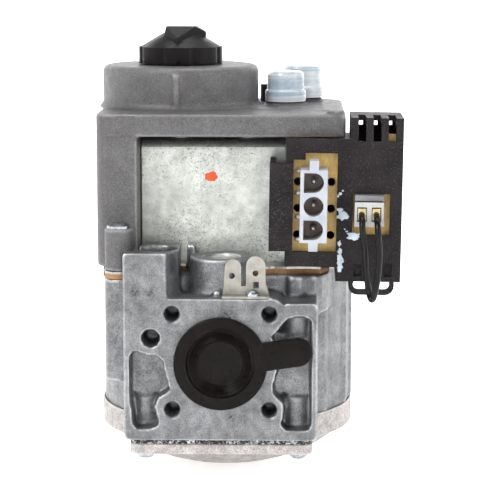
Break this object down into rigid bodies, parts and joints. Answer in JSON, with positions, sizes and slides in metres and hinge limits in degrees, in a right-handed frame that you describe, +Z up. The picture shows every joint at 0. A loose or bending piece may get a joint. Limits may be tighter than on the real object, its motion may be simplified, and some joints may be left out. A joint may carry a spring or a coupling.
{
  "type": "gas valve",
  "caption": "Servo-regulated gas valve: cast body with flanged ports, solenoid control housing, manual knob, capped regulators, wiring headers and a plugged outlet.",
  "frame": {"origin": "centre of the outlet flange's square of tapped holes, on its front face", "axes": "-Y points out of the outlet port and +Y out of the inlet port, +Z is up along the knob's axis, +X is to the right seen from the outlet"},
  "size_m": [0.083, 0.096, 0.1223],
  "materials": {
    "cast_body": "as-cast, blasted grey",
    "cast_cover": "pale matte casting",
    "cast_housing": "grey die casting",
    "black_rubber": "matte",
    "zinc_screw": "bright zinc plated",
    "zinc_sheet": "galvanised sheet",
    "bright_steel": "turned steel",
    "spring_steel": "spring wire",
    "fibre_gasket": "brown fibre",
    "tinned_sheet": "tin plated",
    "screen_mesh": "woven mesh",
    "brass": "turned brass",
    "gold_contact": "gold flashed",
    "copper_wire": "enamelled winding",
    "bobbin_nylon": "natural nylon",
    "black_plastic": "fine-grained black",
    "knob_plastic": "moulded black",
    "plug_plastic": "soft polyethylene",
    "post_plastic": "dark grey",
    "board": "bare laminate",
    "board_part": "moulded packages",
    "white_nylon": "translucent white nylon",
    "grey_nylon": "grey nylon",
    "clear_cap": "milky translucent",
    "cream_plastic": "acetal",
    "wire_pvc": "PVC insulation"
  },
  "bodies": {
    "valve": {"valve_body": "cast_body", "bottom_cover": "cast_cover", "cover_gasket": "black_rubber", "main_diaphragm": "black_rubber", "cover_screws": "zinc_screw", "inlet_screen": "screen_mesh", "main_valve_spring": "spring_steel", "base_gasket": "fibre_gasket", "seal_plate": "zinc_sheet", "control_housing": "cast_housing", "housing_screws": "zinc_screw", "vent_post": "post_plastic", "coil_bracket": "zinc_sheet", "coil_bobbins": "bobbin_nylon", "coil_windings": "copper_wire", "plunger_tubes": "brass", "fixed_cores": "bright_steel", "first_plunger_spring": "spring_steel", "second_plunger_spring": "spring_steel", "manual_valve_seat": "cream_plastic", "front_regulator_spring": "spring_steel", "rear_regulator_spring": "spring_steel", "servo_diaphragms": "black_rubber", "electronics_cover": "black_plastic", "circuit_board": "board", "board_parts": "board_part", "three_way_header": "white_nylon", "header_pins": "tinned_sheet", "jumper_header": "grey_nylon", "jumper_header_pins": "gold_contact", "ground_terminal": "tinned_sheet", "ground_screw": "zinc_screw"},
    "main_valve": {"main_valve_disc": "bright_steel", "main_valve_rubber": "black_rubber", "main_valve_stem": "bright_steel", "diaphragm_plate": "bright_steel"},
    "first_solenoid_plunger": {"first_plunger": "bright_steel", "first_plunger_rubber": "black_rubber"},
    "second_solenoid_plunger": {"second_plunger": "bright_steel", "second_plunger_rubber": "black_rubber"},
    "manual_knob": {"knob": "knob_plastic", "knob_shaft": "brass", "shaft_clip": "spring_steel", "manual_valve_disc": "brass"},
    "front_regulator_screw": {"front_adjust_screw": "cream_plastic"},
    "rear_regulator_screw": {"rear_adjust_screw": "cream_plastic"},
    "front_regulator_cap": {"front_cap": "clear_cap"},
    "rear_regulator_cap": {"rear_cap": "clear_cap"},
    "outlet_port_plug": {"outlet_plug": "plug_plastic"},
    "jumper": {"jumper_plug": "white_nylon", "jumper_contacts": "gold_contact", "jumper_wire": "wire_pvc"}
  },
  "joints": [
    {"name": "main_valve_lift", "type": "slide", "parent": "valve", "child": "main_valve", "axis": [0, 0, 1], "range_m": [0, 0.003], "stiffness_N_per_m": 150, "springref_m": -0.004, "deforming": ["main_valve_spring", "main_diaphragm"]},
    {"name": "first_plunger_lift", "type": "slide", "parent": "valve", "child": "first_solenoid_plunger", "axis": [0, 0, 1], "range_m": [0, 0.0018], "stiffness_N_per_m": 60, "springref_m": -0.004, "deforming": ["first_plunger_spring"]},
    {"name": "second_plunger_lift", "type": "slide", "parent": "valve", "child": "second_solenoid_plunger", "axis": [0, 0, 1], "range_m": [0, 0.0018], "stiffness_N_per_m": 60, "springref_m": -0.004, "deforming": ["second_plunger_spring"]},
    {"name": "knob_turn", "type": "hinge", "parent": "valve", "child": "manual_knob", "pos_m": [-0.0127, 0.0445, 0.075], "axis": [0, 0, 1], "range_deg": [0, 90]},
    {"name": "front_screw_turn", "type": "hinge", "parent": "valve", "child": "front_regulator_screw", "pos_m": [0.0164, 0.045, 0.066], "axis": [0, 0, 1], "range_deg": [-720, 720]},
    {"name": "rear_screw_turn", "type": "hinge", "parent": "valve", "child": "rear_regulator_screw", "pos_m": [0.021, 0.061, 0.066], "axis": [0, 0, 1], "range_deg": [-720, 720]},
    {"name": "front_cap_pull", "type": "slide", "parent": "valve", "child": "front_regulator_cap", "axis": [0, 0, 1], "range_m": [0, 0.012]},
    {"name": "rear_cap_pull", "type": "slide", "parent": "valve", "child": "rear_regulator_cap", "axis": [0, 0, 1], "range_m": [0, 0.012]},
    {"name": "outlet_plug_pull", "type": "slide", "parent": "valve", "child": "outlet_port_plug", "axis": [0, -1, 0], "range_m": [0, 0.02]},
    {"name": "jumper_pull", "type": "slide", "parent": "valve", "child": "jumper", "axis": [0, -1, 0], "range_m": [0, 0.006]}
  ]
}
